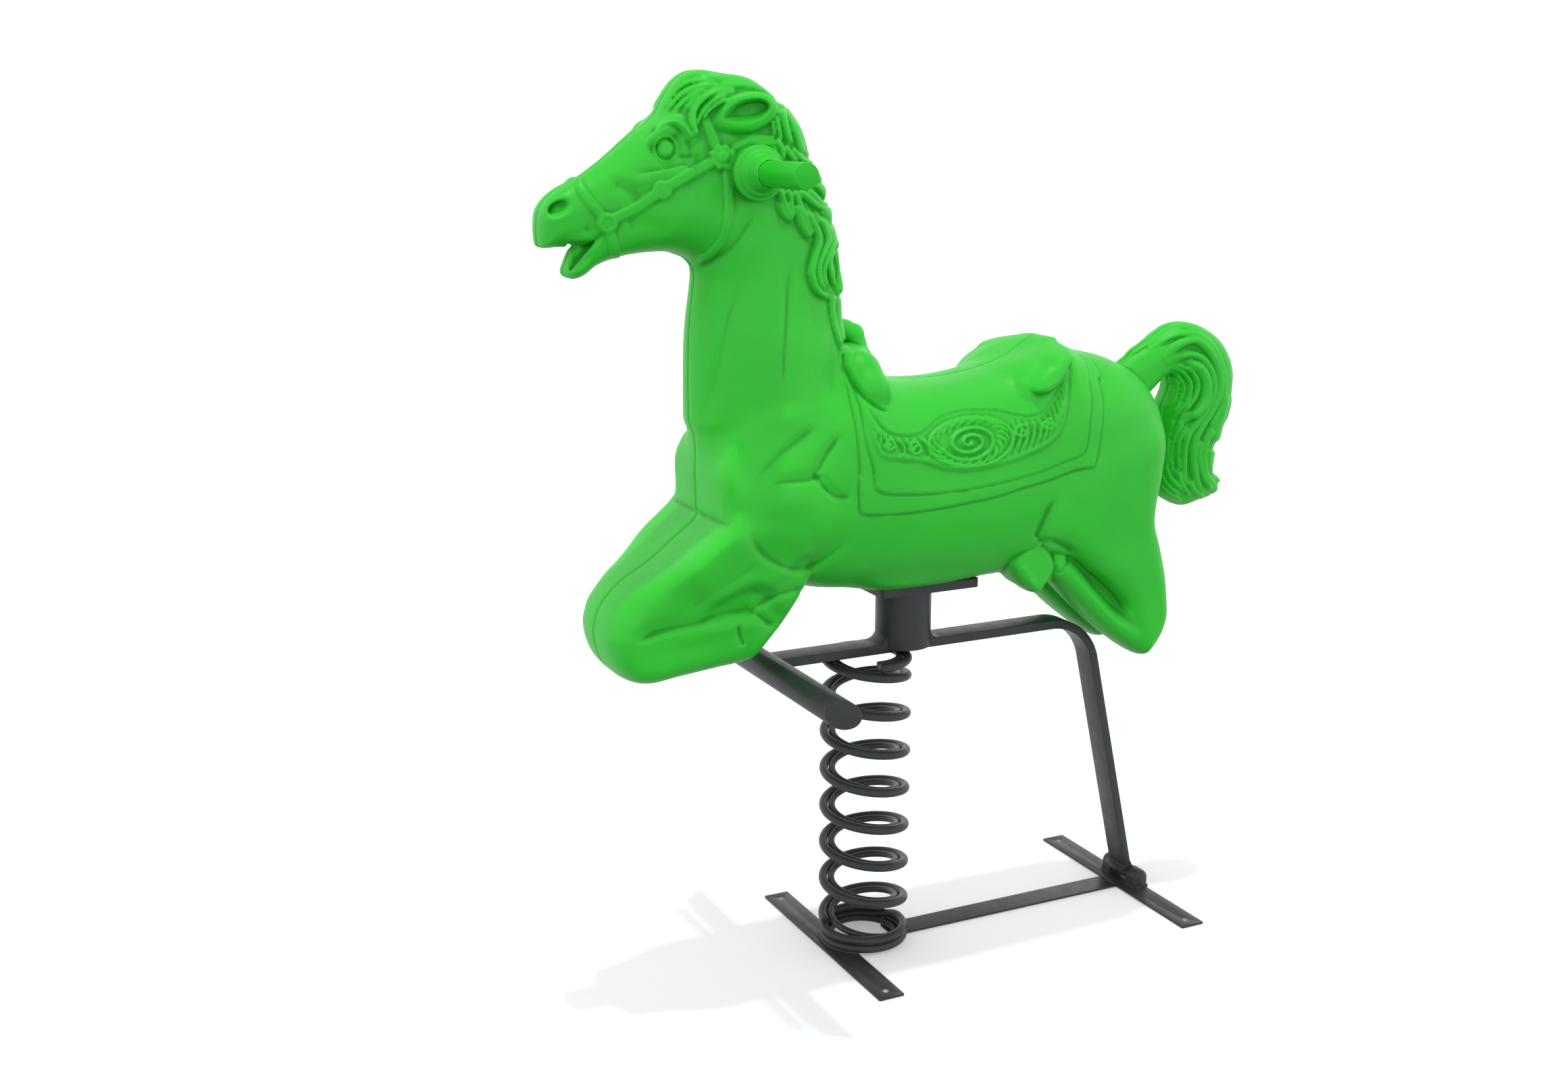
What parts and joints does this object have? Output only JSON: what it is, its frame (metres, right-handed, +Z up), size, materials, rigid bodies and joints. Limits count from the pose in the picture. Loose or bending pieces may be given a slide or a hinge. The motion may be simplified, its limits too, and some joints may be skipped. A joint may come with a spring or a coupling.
{
  "type": "spring rider",
  "caption": "Playground spring rider: hollow cast horse on a hinged flat-bar arm, held up by a nested coil spring over a bolt-down bar frame, with handle and foot rest bars.",
  "frame": {"origin": "on the ground, at the centre of the rectangle of anchor holes", "axes": "+X towards the horse's nose, +Y the horse's left, +Z up"},
  "size_m": [1.0718, 0.5116, 1.205],
  "materials": {
    "frame_paint": "charcoal powder coat on steel bar, satin, slightly pebbled",
    "spring_paint": "charcoal powder coat on spring wire",
    "body_paint": "bright green satin paint over cast aluminium, darker in the recesses",
    "handle_paint": "bright green satin paint on steel tube",
    "bare_steel": "zinc plated fasteners",
    "bronze": "plain bearing bronze"
  },
  "bodies": {
    "base": {"front_ground_bar": "frame_paint", "rear_ground_bar": "frame_paint", "tie_bar": "frame_paint", "spring_seat_ring": "spring_paint", "outer_spring": "spring_paint", "inner_spring": "spring_paint", "left_bearing_block": "frame_paint", "right_bearing_block": "frame_paint", "pivot_bushes": "bronze"},
    "rider": {"hinge_pin": "bare_steel", "hinge_barrel": "frame_paint", "arm_foot_plate": "frame_paint", "arm": "frame_paint", "foot_rest_bar": "frame_paint", "foot_rest_caps": "frame_paint", "pedestal_tube": "frame_paint", "mount_plate": "frame_paint", "mount_bolts": "bare_steel", "left_body_half": "body_paint", "right_body_half": "body_paint", "handle_bar": "handle_paint", "handle_plugs": "handle_paint", "handle_cross_pin": "bare_steel", "seam_screws": "bare_steel"}
  },
  "joints": [
    {"name": "arm_pivot", "type": "hinge", "parent": "base", "child": "rider", "pos_m": [-0.262, 0, 0.0175], "axis": [0, 1, 0], "range_deg": [-4, 8], "stiffness_Nm_per_rad": 9000, "springref_deg": -0.84, "deforming": ["outer_spring", "inner_spring"]}
  ]
}
